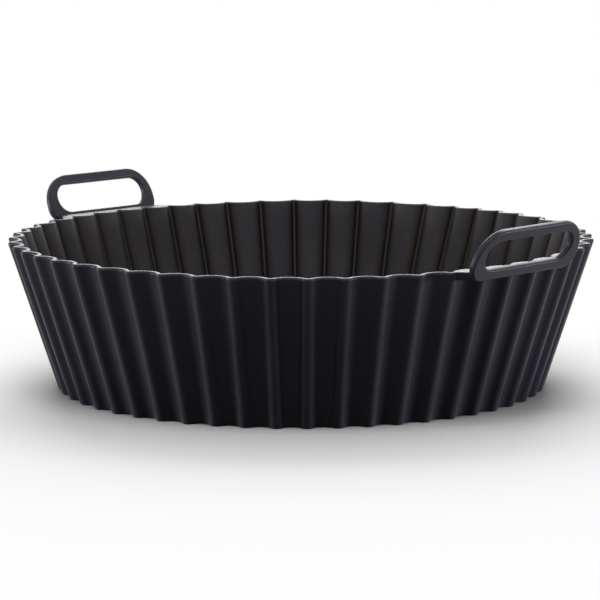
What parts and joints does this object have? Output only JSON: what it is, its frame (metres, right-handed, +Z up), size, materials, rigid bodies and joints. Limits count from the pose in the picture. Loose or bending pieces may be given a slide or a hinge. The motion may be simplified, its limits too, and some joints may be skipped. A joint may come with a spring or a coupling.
{
  "type": "air fryer liner",
  "caption": "round fluted silicone bowl with a flat base, tapering open-topped walls and two leaning loop handles at the rim",
  "frame": {"origin": "centre of the flat underside, where the liner stands", "axes": "+Z up towards the open rim; +X through the middle of one loop handle, the other handle is over -X; Y along the rim's diameter between the handles"},
  "size_m": [0.2378, 0.22, 0.0713],
  "materials": {
    "silicone": "matte"
  },
  "bodies": {
    "root": {"liner": "silicone"}
  },
  "joints": []
}
